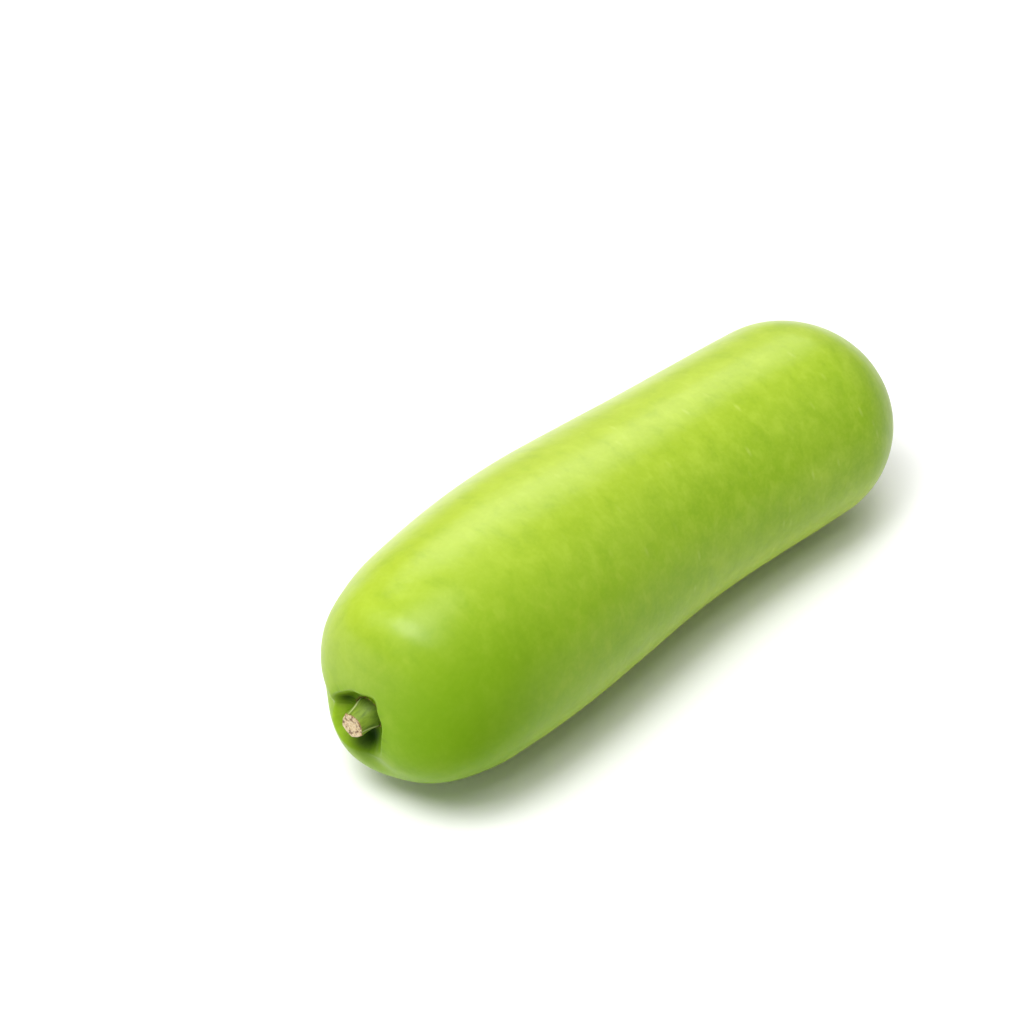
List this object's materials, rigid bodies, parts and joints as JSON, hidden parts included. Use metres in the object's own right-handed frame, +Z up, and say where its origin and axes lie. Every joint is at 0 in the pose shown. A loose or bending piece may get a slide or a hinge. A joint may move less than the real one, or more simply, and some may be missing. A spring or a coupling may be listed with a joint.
{
  "type": "bottle gourd",
  "caption": "Cooking vegetable: smooth bottle gourd lying on its side, gently bowed, fuller at the stem end, with a cut stub of stem in a lobed cavity.",
  "frame": {"origin": "on the table, under the middle of the gourd's bounding box", "axes": "+X along the gourd from its stem end to its blossom end, +Y to the side that its middle bows to, +Z up"},
  "size_m": [0.266, 0.0898, 0.0883],
  "materials": {
    "skin": "satin, waxy",
    "stalk": "matt, fibrous"
  },
  "bodies": {
    "root": {"fruit": "skin", "stem": "stalk"}
  },
  "joints": []
}
